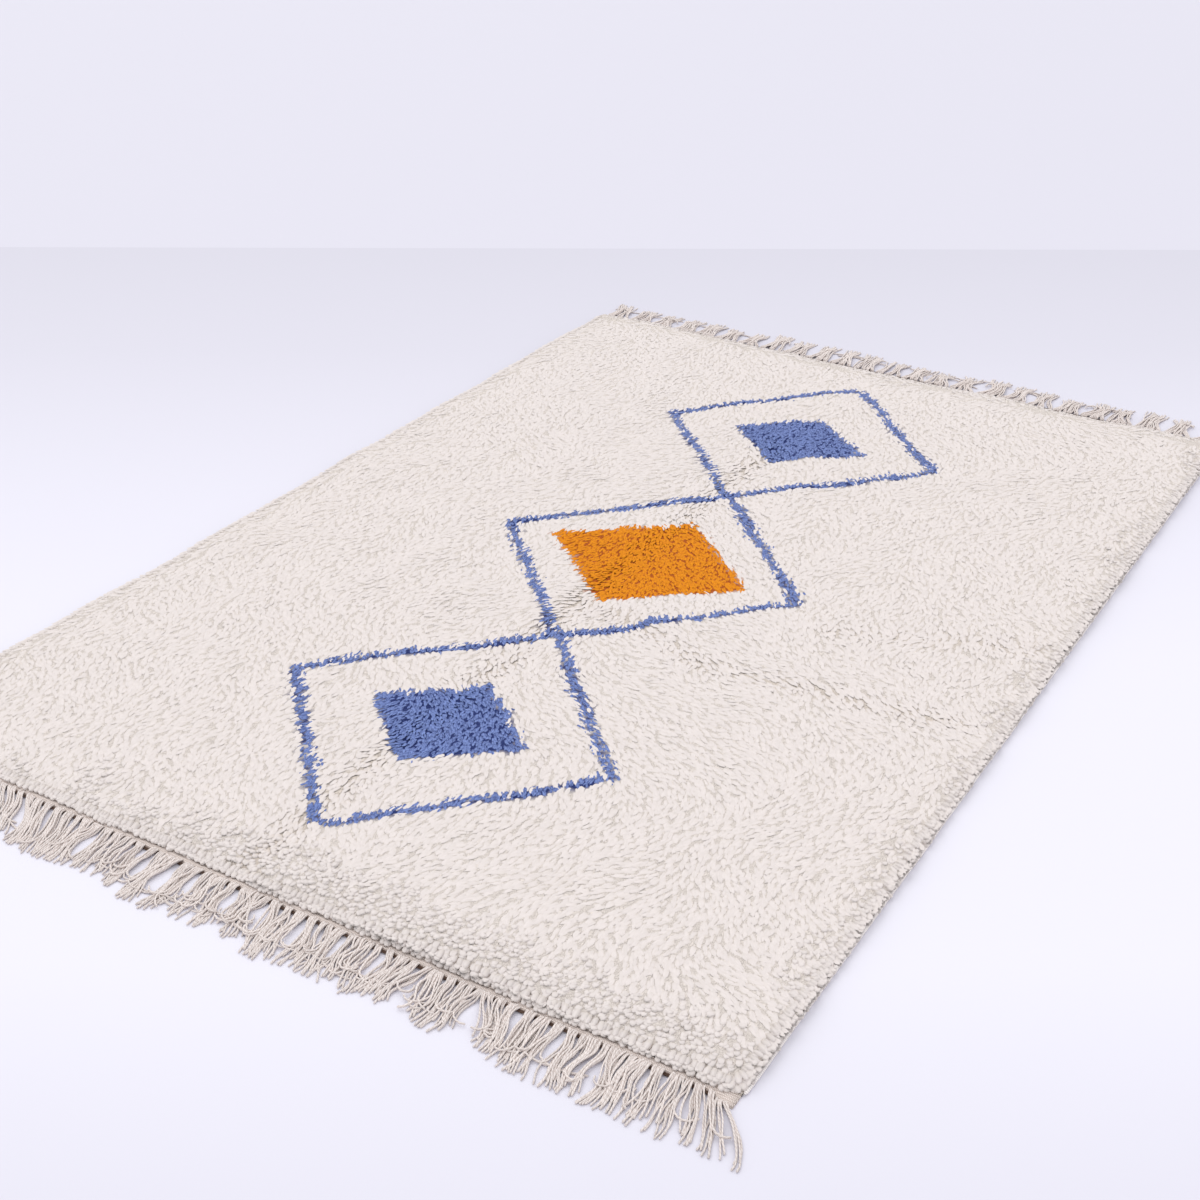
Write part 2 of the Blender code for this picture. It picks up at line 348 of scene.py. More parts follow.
def lie_of_pile(x, y):
    """Plan direction in which the locks lie: mostly to the front, in swirls."""
    angle = LIE_MAIN
    for strength, size, layer in LIE_SWIRLS:
        angle = angle + strength * noise_at(x, y, size, layer)
    off_x, off_y = (x - CROSS_MIDDLE[0]) / CROSS_SIZE[0], (y - CROSS_MIDDLE[1]) / CROSS_SIZE[1]
    angle += CROSS_TURN * np.exp(-off_x ** 2 - off_y ** 2)
    lie_x, lie_y = np.cos(angle), np.sin(angle)
    for fold in FOLDS:
        off_x, off_y, distance = fold_offsets(x, y, fold)
        push = PARTING_PUSH * nearness(distance, fold[5], PARTING_REACH)
        push /= np.maximum(distance, PARTING_CORE)
        lie_x, lie_y = lie_x + push * off_x, lie_y + push * off_y
    lean_x = nearness(HALF_WIDTH - np.abs(x), EDGE_LEAN_WIDTHS[0]) * np.sign(x)
    lean_y = nearness(HALF_LENGTH - np.abs(y), EDGE_LEAN_WIDTHS[1]) * np.sign(y)
    lie_x, lie_y = lie_x + EDGE_LEAN * lean_x, lie_y + EDGE_LEAN * lean_y
    return np.arctan2(lie_y, lie_x)


def zigzag(y):
    """0 where two lozenges of the chain meet, 1 at their widest."""
    phase = (y - CHAIN_START) / LOZENGE_LENGTH % 1.0
    return 1.0 - np.abs(2.0 * phase - 1.0)


def colour_zone(x, y):
    """Colour of the knot tied at each point: 0 ivory, 1 blue, 2 ochre."""
    stray_x = x + EDGE_WANDER * noise_at(x, y, EDGE_WANDER_SIZE, 11.0)
    stray_y = y + EDGE_WANDER * noise_at(x, y, EDGE_WANDER_SIZE, 13.0)
    zone = np.zeros(np.shape(x), int)
    narrow, wide = LOZENGE_HALF_WIDTH
    slope = 2 * (wide - narrow) / LOZENGE_LENGTH
    outline = narrow + (wide - narrow) * zigzag(stray_y)
    from_line = np.abs(np.abs(stray_x) - outline) / math.hypot(1.0, slope)
    width = LINE_HALF_WIDTH * (1.0 + 0.25 * noise_at(x, y, 0.06, 17.0))
    in_chain = np.abs(stray_y) < -CHAIN_START
    zone[(from_line < width) & in_chain] = 1
    for middle, half_width, half_length, colour in SOLID_LOZENGES:
        inside = np.abs(stray_x) / half_width + np.abs(stray_y - middle) / half_length < 1.0
        zone[inside] = colour
    return zone


def bluntness(x, y):
    """How short and blunt the locks are: 1 along the front edge's right half, less inside."""
    front = nearness(HALF_LENGTH + y, BLUNT_FRONT_WIDTH, BLUNT_FRONT_REACH)
    front *= smoothstep((x - BLUNT_FRONT_START) / BLUNT_FRONT_GROWTH)
    side = BLUNT_SIDE[0] * nearness(HALF_WIDTH - x, BLUNT_SIDE[1])
    back = BLUNT_BACK[0] * nearness(HALF_LENGTH - y, BLUNT_BACK[1])
    patchy = BLUNT_PATCHES[0] * noise_at(x, y, BLUNT_PATCHES[1], 23.0)
    return np.clip(np.maximum(np.maximum(front, side), back) + patchy, 0.0, 1.0)


# ---- mesh helpers

def face_template(rings, sides):
    """Corner indices, sizes and map places of one closed strand: cone, rings of quads, cone."""
    tip = rings * sides + 1
    around = [(side, (side + 1) % sides) for side in range(sides)]
    corners, sizes, places = [], [], []
    for side, after in around:
        corners += [0, 1 + after, 1 + side]
        places += [(0.0, side + 0.5), (1.0, side + 1), (1.0, side)]
        sizes.append(3)
    for ring in range(rings - 1):
        low, high = 1 + ring * sides, 1 + (ring + 1) * sides
        for side, after in around:
            corners += [low + side, low + after, high + after, high + side]
            places += [(ring + 1, side), (ring + 1, side + 1), (ring + 2, side + 1), (ring + 2, side)]
            sizes.append(4)
    last = 1 + (rings - 1) * sides
    for side, after in around:
        corners += [last + side, last + after, tip]
        places += [(rings, side), (rings, side + 1), (rings + 1, side + 0.5)]
        sizes.append(3)
    places = np.array(places, float) / ((rings + 1), sides)
    return np.array(corners), np.array(sizes), places


def add_object(name, data):
    """New object in the scene."""
    item = bpy.data.objects.new(name, data)
    bpy.context.scene.collection.objects.link(item)
    return item


def build_mesh(name, points, corners, sizes, maps, values, material, normals=None):
    """Smooth mesh object from arrays, with its maps, its values for each point and, if
    given, its shading normals."""
    mesh = bpy.data.meshes.new(name)
    mesh.vertices.add(len(points))
    mesh.vertices.foreach_set("co", np.asarray(points, np.float32).ravel())
    mesh.loops.add(len(corners))
    mesh.loops.foreach_set("vertex_index", np.asarray(corners, np.int32))
    mesh.polygons.add(len(sizes))
    starts = np.concatenate(([0], np.cumsum(sizes)[:-1]))
    mesh.polygons.foreach_set("loop_start", starts.astype(np.int32))
    for map_name, places in maps.items():
        layer = mesh.uv_layers.new(name=map_name)
        layer.uv.foreach_set("vector", np.asarray(places, np.float32).ravel())
    for value_name, numbers in values.items():
        attribute = mesh.attributes.new(value_name, "FLOAT", "POINT")
        attribute.data.foreach_set("value", np.asarray(numbers, np.float32))
    mesh.update(calc_edges=True)
    mesh.shade_smooth()
    if normals is not None:
        mesh.normals_split_custom_set_from_vertices(normals.tolist())
    mesh.materials.append(material)
    return add_object(name, mesh)


def unit(vectors):
    """The vectors at length 1."""
    return vectors / np.maximum(np.linalg.norm(vectors, axis=-1, keepdims=True), 1e-12)


def strands(name, paths, half_widths, half_heights, sides, values, material, fluff=0.0):
    """One mesh of closed strands. paths is (strands, points, 3), its two ends are
    the tips, and values holds one number for each strand. fluff turns the shading
    normals upwards, as loose wool scatters light and shows no hard sides."""
    count, points = paths.shape[:2]
    rings = points - 2
    along = unit(np.gradient(paths, axis=1))
    flat = unit(along * (1.0, 1.0, 0.0))
    across = np.stack((-flat[..., 1], flat[..., 0], np.zeros((count, points))), -1)
    above = np.cross(along, across)
    turns = np.arange(sides) * TAU / sides - math.pi / 2 + math.pi / sides
    ring = (
        across[:, 1:-1, None] * (np.cos(turns)[:, None] * half_widths[..., None, None])
        + above[:, 1:-1, None] * (np.sin(turns)[:, None] * half_heights[..., None, None])
    ).reshape(count, rings * sides, 3)
    centres = np.repeat(paths[:, 1:-1], sides, axis=1)
    verts = np.concatenate((paths[:, :1], ring + centres, paths[:, -1:]), 1)
    normals = None
    if fluff > 0.0:
        outward = np.concatenate((-along[:, :1], unit(ring), along[:, -1:]), 1)
        normals = unit(outward * (1.0 - fluff) + (0.0, 0.0, fluff)).reshape(-1, 3)
    corners, sizes, places = face_template(rings, sides)
    per = rings * sides + 2
    all_corners = (corners + per * np.arange(count)[:, None]).ravel()
    # each strand has its own cell on the OFBake map
    columns = math.ceil(math.sqrt(count))
    cell = np.stack((np.arange(count) % columns, np.arange(count) // columns), -1)
    margin = 0.12
    baked = (cell[:, None] + margin + places * (1 - 2 * margin)) / columns
    steps = np.linalg.norm(np.diff(paths, axis=1), axis=2)
    distance = np.concatenate((np.zeros((count, 1)), np.cumsum(steps, 1)), 1)
    at_ring = np.rint(places[:, 0] * (rings + 1)).astype(int)
    yarn = np.stack((np.broadcast_to(places[:, 1], (count, len(places))), distance[:, at_ring]), -1)
    level = np.concatenate(([0], np.repeat(np.arange(1, rings + 1), sides), [rings + 1])) / (rings + 1)
    point_values = {key: np.repeat(numbers, per) for key, numbers in values.items()}
    point_values["tip"] = np.tile(level, count)
    maps = {"OFBake": baked.reshape(-1, 2), "yarn": yarn.reshape(-1, 2)}
    return build_mesh(
        name, verts.reshape(-1, 3), all_corners, np.tile(sizes, count), maps, point_values,
        material, normals,
    )


# ---- materials

def srgb(red, green, blue):
    """Linear colour from 8-bit sRGB values."""
    values = np.array((red, green, blue)) / 255
    linear = np.where(values <= 0.04045, values / 12.92, ((values + 0.055) / 1.055) ** 2.4)
    return (*linear.tolist(), 1.0)


class Nodes:
    """A material's node tree with short calls for the nodes used here."""

    def __init__(self, name, roughness, sheen=0.0):
        self.material = bpy.data.materials.new(name)
        self.material.use_nodes = True
        self.tree = self.material.node_tree
        self.shader = self.tree.nodes["Principled BSDF"]
        self.shader.inputs["Roughness"].default_value = roughness
        self.shader.inputs["Sheen Weight"].default_value = sheen
        self.shader.inputs["Sheen Roughness"].default_value = 0.6
        self.shader.inputs["Specular IOR Level"].default_value = 0.15

    def node(self, kind, inputs=None, **settings):
        """New node with its settings; each input is set to a number or colour, or joined
        to another node's output."""
        made = self.tree.nodes.new(kind)
        for key, value in settings.items():
            setattr(made, key, value)
        for key, item in (inputs or {}).items():
            if isinstance(item, (int, float, tuple)):
                made.inputs[key].default_value = item
            else:
                self.join(item, made.inputs[key])
        return made

    def join(self, source, target):
        self.tree.links.new(source, target)

    def value(self, name):
        return self.node("ShaderNodeAttribute", attribute_name=name).outputs["Fac"]

    def math(self, operation, *items):
        return self.node("ShaderNodeMath", dict(enumerate(items)), operation=operation).outputs[0]

    def mix(self, factor, first, second, blend="MIX"):
        inputs = {0: factor, 6: first, 7: second}
        return self.node("ShaderNodeMix", inputs, data_type="RGBA", blend_type=blend).outputs[2]

    def between(self, value, low, high):
        """From low where the value is 0 to high where it is 1."""
        return self.math("MULTIPLY_ADD", value, high - low, low)

    def ripple(self, value, factor):
        """Absolute sine of the value times a factor."""
        return self.math("ABSOLUTE", self.math("SINE", self.math("MULTIPLY", value, factor)))

    def split(self, vector):
        """The vector's X, Y and Z."""
        return self.node("ShaderNodeSeparateXYZ", {"Vector": vector}).outputs

    def noise(self, vector, detail):
        inputs = {"Vector": vector, "Scale": 1.0, "Detail": detail}
        return self.node("ShaderNodeTexNoise", inputs).outputs["Fac"]

    def ramp(self, value, start, end):
        """Smooth rise from 0 at start to 1 at end."""
        inputs = {"Value": value, "From Min": start, "From Max": end}
        made = self.node("ShaderNodeMapRange", inputs, interpolation_type="SMOOTHSTEP")
        return made.outputs["Result"]

    def place(self):
        return self.node("ShaderNodeTexCoord").outputs["Object"]

    def place_noise(self, scale, detail):
        """Noise over the place, with a scale for each axis."""
        inputs = {"Vector": self.place(), "Scale": scale}
        return self.noise(self.node("ShaderNodeMapping", inputs).outputs["Vector"], detail)

    def bump(self, height, distance, strength):
        inputs = {"Height": height, "Distance": distance, "Strength": strength}
        self.join(self.node("ShaderNodeBump", inputs).outputs["Normal"], self.shader.inputs["Normal"])

    def brighten(self, colour, factor):
        """The colour times a grey factor."""
        grey = self.node("ShaderNodeCombineColor", {0: factor, 1: factor, 2: factor}).outputs[0]
        return self.mix(1.0, colour, grey, "MULTIPLY")

    def uneven(self, colour, density):
        """The colour, a little lighter and darker in patches."""
        patches = self.place_noise((density,) * 3, detail=3.0)
        return self.brighten(colour, self.between(patches, 0.87, 1.11))

    def finish(self, colour):
        self.join(colour, self.shader.inputs["Base Color"])
        return self.material


def lock_wool(name, painted_shade, top, warm, tint_range, groove_depth, sheen):
    """Brushed wool of the locks: wisps along each lock, with painted shade between them and at the root,
    where the lock lies under others, and a tone of its own for each lock."""
    n = Nodes(name, roughness=0.92, sheen=sheen)
    uv = n.split(n.node("ShaderNodeUVMap", uv_map="yarn").outputs["UV"])
    wisp = n.node("ShaderNodeCombineXYZ", {
        "X": n.math("MULTIPLY", uv["X"], WISPS_ROUND_LOCK),
        "Y": n.math("MULTIPLY", uv["Y"], 1 / WISP_LENGTH),
        "Z": n.math("MULTIPLY", n.value("tint"), 97.0),  # each tint has its own wisps
    })
    wisps = n.noise(wisp.outputs["Vector"], detail=2.0)
    # painted shade in the grooves between the wisps
    groove = n.ramp(wisps, start=0.34, end=0.56)
    # painted shade towards the root, which lies under other locks
    tip = n.ramp(n.value("tip"), start=0.10, end=0.60)
    lit = n.math("MULTIPLY", tip, n.between(groove, 1.0 - groove_depth, 1.0))
    shade = n.mix(n.value("warm"), painted_shade, warm)
    colour = n.mix(lit, shade, top)
    n.bump(wisps, distance=0.0005, strength=0.5)
    return n.finish(n.brighten(colour, n.between(n.value("tint"), *tint_range)))


def core_wool(name):
    """The closed mass of wool between the locks, coloured as the knots over it but darker, as painted
    shade in the gaps between them; warmer and darker still in the folds.
    """
    n = Nodes(name, roughness=0.95, sheen=0.05)
    ivory, blue, ochre = srgb(223, 214, 207), srgb(33, 48, 106), srgb(176, 84, 2)
    colour = n.mix(n.value("warm"), ivory, srgb(216, 204, 192))
    colour = n.mix(n.value("blue"), colour, blue)
    colour = n.mix(n.value("ochre"), colour, ochre)
    fibres = n.place_noise((260.0, 130.0, 260.0), detail=5.0)
    fuzz = n.ramp(fibres, start=0.30, end=0.70)
    n.bump(fuzz, distance=0.003, strength=0.9)
    return n.finish(n.brighten(colour, n.between(fuzz, 0.92, 1.06)))


def plied_yarn(name, light, dark):
    """Two-ply warp yarn: a twist groove round it, painted darker as shade, and a tone of its own for
    each yarn.
    """
    n = Nodes(name, roughness=0.85, sheen=0.08)
    uv = n.split(n.node("ShaderNodeUVMap", uv_map="yarn").outputs["UV"])
    round_yarn = n.math("MULTIPLY", uv["X"], 2 * TAU)
    turn = n.math("MULTIPLY_ADD", uv["Y"], TAU / PLY_PITCH, round_yarn)
    groove = n.math("POWER", n.ripple(turn, 0.5), 0.45)
    # painted shade in the twist groove
    colour = n.mix(groove, dark, light)
    fuzz = n.place_noise((900.0, 900.0, 900.0), detail=2.0)
    n.bump(groove, distance=0.0005, strength=0.6)
    tint = n.math("MULTIPLY_ADD", fuzz, 0.10, n.between(n.value("tint"), 0.79, 0.95))
    return n.finish(n.brighten(colour, tint))


def woven(name, light, dark, rib, pick):
    """Flat weave: weft ribs of one pitch along X, crossed by warps of another, with painted shade in the
    hollows between them.
    """
    n = Nodes(name, roughness=0.9, sheen=0.05)
    place = n.split(n.place())
    ribs = n.ripple(place["Y"], math.pi / rib)
    shift = n.math("MULTIPLY", n.math("FLOOR", n.math("DIVIDE", place["Y"], rib)), math.pi / 2)
    picks = n.ripple(n.math("MULTIPLY_ADD", place["X"], math.pi / pick, shift), 1.0)
    height = n.math("MULTIPLY", n.math("POWER", ribs, 0.5), n.math("POWER", picks, 0.4))
    n.bump(height, distance=0.0012, strength=0.8)
    return n.finish(n.uneven(n.mix(height, dark, light), density=60.0))


def overcast(name, light, dark):
    """Yarn wound round and round a cord, with painted shade between the winds."""
    n = Nodes(name, roughness=0.9, sheen=0.08)
    place = n.split(n.place())
    slant = n.math("MULTIPLY_ADD", place["Z"], 0.4, place["Y"])
    winds = n.math("POWER", n.ripple(slant, math.pi / OVERCAST_PITCH), 0.5)
    n.bump(winds, distance=0.0009, strength=0.8)
    return n.finish(n.uneven(n.mix(winds, dark, light), density=70.0))


IVORY = lock_wool(
    "ivory_wool", painted_shade=srgb(214, 205, 198), top=srgb(225, 216, 212), warm=srgb(206, 192, 177),
    tint_range=(0.89, 1.0), groove_depth=0.40, sheen=0.12,
)
BLUE = lock_wool(
    "blue_wool", painted_shade=srgb(25, 41, 100), top=srgb(118, 137, 192), warm=srgb(72, 90, 148),
    tint_range=(0.70, 1.10), groove_depth=0.85, sheen=0.09,
)
OCHRE = lock_wool(
    "ochre_wool", painted_shade=srgb(178, 88, 2), top=srgb(225, 140, 14), warm=srgb(206, 116, 8),
    tint_range=(0.84, 1.04), groove_depth=0.6, sheen=0.02,
)
YARN = plied_yarn("warp_yarn", light=srgb(234, 224, 219), dark=srgb(198, 182, 173))
WOOLS = (
    # colour, slot, scale of the locks, locks to a knot (the dyed wool is finer), material
    ("ivory", "pile_wool", 1.0, 1, IVORY),
    ("blue", "blue_wool", 0.62, 3, BLUE),
    ("ochre", "ochre_wool", 0.66, 3, OCHRE),
)


# ---- knots

def knots():
    """Plan place of every knot, in jittered rows."""
    rows = np.arange(-HALF_LENGTH + ROW_MARGINS[0], HALF_LENGTH - ROW_MARGINS[1], ROW_PITCH)
    columns = np.arange(-HALF_WIDTH + COLUMN_MARGINS[0], HALF_WIDTH - COLUMN_MARGINS[1], KNOT_PITCH)
    x, y = np.meshgrid(columns, rows)
    x = x + (np.arange(len(rows)) % 2)[:, None] * KNOT_PITCH / 2
    x = x + rng.uniform(-KNOT_JITTER, KNOT_JITTER, x.shape) * KNOT_PITCH
    y = y + rng.uniform(-KNOT_JITTER, KNOT_JITTER, x.shape) * ROW_PITCH
    y = y + 0.003 * noise_at(x, y, 0.05, 31.0)
    inside = corner_room(x, y) > CORNER_MARGIN
    return x[inside], y[inside]


def corner_room(x, y):
    """Distance in from the rounded corner, where a point is in one, and else to the sides."""
    past_x = np.maximum(np.abs(x) - HALF_WIDTH + CORNER_RADIUS, 0.0)
    past_y = np.maximum(np.abs(y) - HALF_LENGTH + CORNER_RADIUS, 0.0)
    return CORNER_RADIUS - np.hypot(past_x, past_y)


def room_to_edge(x, y, angle):
    """How far a lock may reach from its root before it passes the pile's outline."""
    lie_x, lie_y = np.cos(angle), np.sin(angle)
    room_x = (HALF_WIDTH - x * np.sign(lie_x)) / np.maximum(np.abs(lie_x), 0.1)
    room_y = (HALF_LENGTH + END_SPILL - y * np.sign(lie_y)) / np.maximum(np.abs(lie_y), 0.1)
    in_corner = (HALF_WIDTH - np.abs(x) < CORNER_RADIUS) & (HALF_LENGTH - np.abs(y) < CORNER_RADIUS)
    room = np.where(in_corner, corner_room(x, y) * CORNER_REACH, 1.0)
    return np.minimum(np.minimum(room_x, room_y), room)


def lock_paths(x, y, angle, length, shares, rises, bend):
    """Strand paths over the pile: shares of the length, each at its height over the top."""
    lie = np.stack((np.cos(angle), np.sin(angle)), -1)
    side = np.stack((-lie[:, 1], lie[:, 0]), -1)
    shares = np.asarray(shares)
    length = np.minimum(length, room_to_edge(x, y, angle))
    plan = np.stack((x, y), -1)[:, None] + lie[:, None] * (length[:, None] * shares)[..., None]
    plan = plan + side[:, None] * (bend[:, None] * shares ** 2)[..., None]
    heights = np.maximum(pile_height(plan[..., 0], plan[..., 1]) + rises, GROUND_HEIGHT)
    return np.concatenate((plan, heights[..., None]), -1)


def locks(form, name, x, y, scale, material, warm):
    """Mesh of one form of lock, rooted at the plan places."""
    count = len(x)
    angle = lie_of_pile(x, y) + rng.normal(0.0, form.turn, count)
    length = rng.uniform(*form.length, count) * scale
    lift = rng.normal(0.0, form.lift, count) * (1.0 + form.warm_lift * warm)
    lift += form.lumps * noise_at(x, y, 0.030, 41.0)
    rises = np.array(form.rises) + lift[:, None] * np.array(form.lifts)
    if form.tip_stray:
        rises[:, -1] += rng.uniform(*form.tip_stray, count)
    bend = rng.normal(0.0, form.bend, count)
    paths = lock_paths(x, y, angle, length, form.shares, rises, bend)
    half = rng.uniform(*form.half_width, count) * scale
    half_widths = half[:, None] * np.array(form.widths)
    half_heights = half_widths * form.flatness
    values = {"tint": rng.uniform(*form.tint, count), "warm": warm}
    return strands(name, paths, half_widths, half_heights, form.sides, values, material, form.fluff)


def build_pile():
    """All knots of the field, one mesh for each colour, form and band of the length."""
    x, y = knots()
    blunt = bluntness(x, y) > rng.uniform(*BLUNT_CUTOFF, len(x))
    angle = lie_of_pile(x, y)
    shown = np.where(blunt, FORMS["blunt"].shown_at, FORMS["laid"].shown_at)
    zone = colour_zone(x + shown * np.cos(angle), y + shown * np.sin(angle))
    warm = np.clip(fold_depth(x, y) / WARM_DEPTH, 0.0, 1.0) * rng.uniform(*WARM_IN_FOLD, len(x))
    strength, size, shift = WARM_PATCHES
    warm = np.clip(warm + strength * noise_at(x, y, size, 47.0) + shift, 0.0, 1.0)
    made = []
    for index, (colour, slot_name, scale, copies, material) in enumerate(WOOLS):
        for form_name, chosen in (("laid", ~blunt), ("blunt", blunt)):
            form = FORMS[form_name]
            among = np.repeat(np.flatnonzero((zone == index) & chosen), copies)
            triangles = 2 * form.sides * len(form.widths)
            bands = math.ceil(len(among) * triangles / PIECE_TRIANGLES)
            for band, part in enumerate(np.array_split(among, bands) if bands else ()):
                name = f"pile_{colour}_{form_name}_{band + 1}"
                off_x, off_y = rng.normal(0.0, COPY_SPREAD, (2, len(part))) * (copies - 1)
                places = x[part] + off_x, y[part] + off_y
                item = locks(form, name, *places, scale, material, warm[part])
                made.append(item)
    return made


def corner_turn(place, half):
    """How far along the corner's bend each place of an edge is: 0 on the straight, 1 at
    the corner, and how far the outline is drawn in there."""
    turn = np.clip((np.abs(place) - half + CORNER_RADIUS) / CORNER_RADIUS, 0.0, MOST_TURNED)
    return turn * np.sign(place), CORNER_RADIUS * (1.0 - np.sqrt(1.0 - turn ** 2))


def rim_places(half):
    """Places along one edge and levels from its foot to its top, in jittered rows."""
    place, row = np.meshgrid(np.arange(-half, half, RIM_PITCH), np.arange(RIM_LEVELS))
    place = place + (row % 2) * RIM_PITCH / 2 + rng.uniform(*RIM_JITTER, place.shape) * RIM_PITCH
    level = (row + rng.uniform(*LEVEL_JITTER, place.shape)) / (RIM_LEVELS - 1)
    return np.clip(place.ravel(), -half, half), np.clip(level.ravel(), 0.0, 1.0)


def rim_locks(name, side, on_end, inset, wander, stray):
    """Locks of the outermost knots along one edge, which hang over its selvage or strip."""
    half, outline = (HALF_WIDTH, HALF_LENGTH) if on_end else (HALF_LENGTH, HALF_WIDTH)
    place, level = rim_places(half - RIM_END)
    count = len(place)
    turn, drawn_in = corner_turn(place, half)
    facing = np.sqrt(1.0 - turn ** 2)
    reach = rng.uniform(*RIM_REACH, count)
    back = inset + RIM_STEP_BACK * level - wander * noise_along(place, 0.11, 37.0 + side)
    start = outline - drawn_in - back * facing
    place = place - back * turn
    x, y = (place, side * start) if on_end else (side * start, place)
    foot = RIM_FOOT + RIM_FOOT_WANDER * noise_along(place, 0.045, 43.0 + side)
    z = foot + (pile_height(x, y) - foot - RIM_TOP_DROP) * level
    # the top row leans down over the rows under it
    drop = np.array(RIM_DROP) * (RIM_FOOT_DROP + (1.0 - RIM_FOOT_DROP) * level[:, None])
    shares = np.array(RIM_SHARES)
    swing = rng.normal(0.0, stray, count) + reach * turn
    along = place[:, None] + swing[:, None] * shares
    outward = side * (start[:, None] + (reach * facing)[:, None] * shares)
    plan = (along, outward) if on_end else (outward, along)
    paths = np.stack((*plan, z[:, None] + drop), -1)
    widths = rng.uniform(*RIM_HALF_WIDTH, count)[:, None] * np.array(RIM_WIDTHS)
    values = {"tint": rng.uniform(*RIM_TINT_AND_SHADE, count), "warm": rng.uniform(0, 0.25, count)}
    item = strands(name, paths, widths, widths * RIM_FLATNESS, 4, values, IVORY, RIM_FLUFF)
    return item


# ---- cloth

def closed_slab(name, x, y, top, bottom, values, material):
    """Closed grid slab: plan places, top and bottom heights as arrays of rows."""
    rows, columns = top.shape
    upper = np.stack((x, y, top), -1).reshape(-1, 3)
    lower = np.stack((x, y, bottom), -1).reshape(-1, 3)
    count = rows * columns
    index = np.arange(count).reshape(rows, columns)
    a, b, c, d = index[:-1, :-1], index[:-1, 1:], index[1:, 1:], index[1:, :-1]
    quads = [np.stack((a, b, c, d), -1).reshape(-1, 4)]
    quads.append(np.stack((d, c, b, a), -1).reshape(-1, 4) + count)
    ring = np.concatenate((index[0, :-1], index[:-1, -1], index[-1, :0:-1], index[:0:-1, 0]))
    after = np.roll(ring, -1)
    quads.append(np.stack((ring, ring + count, after + count, after), -1))
    corners = np.concatenate(quads).ravel()
    sizes = np.full(len(corners) // 4, 4)
    doubled = {key: np.tile(numbers.ravel(), 2) for key, numbers in values.items()}
    return build_mesh(name, np.concatenate((upper, lower)), corners, sizes, {}, doubled, material)


def plan_lines(half, pitch):
    """Evenly spaced grid lines from -half to half."""
    return np.linspace(-half, half, round(2 * half / pitch) + 1)


def core_lines(half, chain_half):
    """Grid lines from -half to half, closer together under the chain of lozenges and
    over the slopes at both ends."""
    near = np.array(CORE_EDGE_LINES)
    width = half - CORE_PITCH - chain_half
    plain = chain_half + np.linspace(0.0, width, round(width / CORE_PITCH) + 1)[1:]
    chain = plan_lines(chain_half, CORE_FINE_PITCH)
    return np.concatenate((near - half, -plain[::-1], chain, plain, half - near[::-1]))


def build_core():
    """Dense wool between the locks' roots."""
    across = core_lines(HALF_WIDTH - CORE_INSET, CHAIN_HALF_WIDTH)
    along = core_lines(HALF_LENGTH - CORE_INSET, -CHAIN_START)
    x, y = np.meshgrid(across, along)
    top = pile_height(x, y) - CORE_DROP - CORE_FOLD_DROP * fold_depth(x, y)
    edge = np.minimum(HALF_WIDTH - np.abs(x), HALF_LENGTH - np.abs(y))
    top -= CORE_SHOULDER[0] * nearness(edge - CORE_INSET, CORE_SHOULDER[1])
    bottom = np.full(x.shape, GROUND_HEIGHT - CORE_SINK)
    zone = colour_zone(x, y)
    values = {
        "blue": (zone == 1).astype(float),
        "ochre": (zone == 2).astype(float),
        "warm": np.clip(fold_depth(x, y) / CORE_WARM_DEPTH + 0.25, 0.0, 1.0),
    }
    item = closed_slab("pile_core", x, y, top, bottom, values, core_wool("deep_wool_painted_shade"))
    return item


def build_ground():
    """Woven ground that the knots are tied on."""
    across = plan_lines(HALF_WIDTH - GROUND_INSET, GROUND_PITCH)
    x, y = np.meshgrid(across, plan_lines(HALF_LENGTH, GROUND_PITCH))
    bottom = 0.0006 + 0.0005 * noise_at(x, y, 0.08, 61.0)
    top = bottom + GROUND_THICKNESS
    weave = woven("ground_weave", srgb(222, 211, 200), srgb(160, 144, 130), 0.0060, 0.0045)
    item = closed_slab("ground_cloth", x, y, top, bottom, {}, weave)
    return item


def build_cord(name, x, y, radius, clearance, spread, sides, material):
    """One closed cord along plan places, with its clearance from the floor and its width
    over its height."""
    paths = np.stack((x, y, radius + clearance), -1)[None]
    inner = radius[None, 1:-1]
    return strands(name, paths, inner * spread, inner, sides, {}, material)


def build_selvage(name, side):
    """Overcast cord along one long edge."""
    along = np.linspace(-HALF_LENGTH + SELVAGE_END, HALF_LENGTH - SELVAGE_END, 320)
    x = side * (HALF_WIDTH - SELVAGE_INSET) + 0.0022 * noise_along(along, 0.16, 67.0 + side)
    radius = SELVAGE_RADIUS * (1 + 0.14 * noise_along(along, 0.012, 71.0))
    yarn = overcast("selvage_yarn_" + name, srgb(244, 238, 235), srgb(216, 206, 200))
    item = build_cord(name, x, along, radius, FLOOR_CLEARANCE, 1.15, 8, yarn)
    return item


# ---- fringes

def back_bunches():
    """Bunch rows for the back fringe, as in the part."""
    source = random.Random(31)
    count = round(STRIP_WIDTH / BACK_BUNCH_WIDTH)
    width = STRIP_WIDTH / count
    rows = []
    for index in range(count):
        start = -STRIP_HALF + index * width
        middle = start + width / 2
        corner = max(0.0, 1.0 - (STRIP_HALF - abs(middle)) / BACK_BUNCH_WIDTH)
        half = width / 2 * source.uniform(*BACK_SQUEEZE)
        middle += source.uniform(-BACK_SHIFT, BACK_SHIFT) * (1.0 - corner)
        middle += math.copysign(corner * BACK_CORNER_SPREAD, middle)
        rows.append((start + width, middle - half, middle + half, source.uniform(*BACK_REACH)))
    return rows


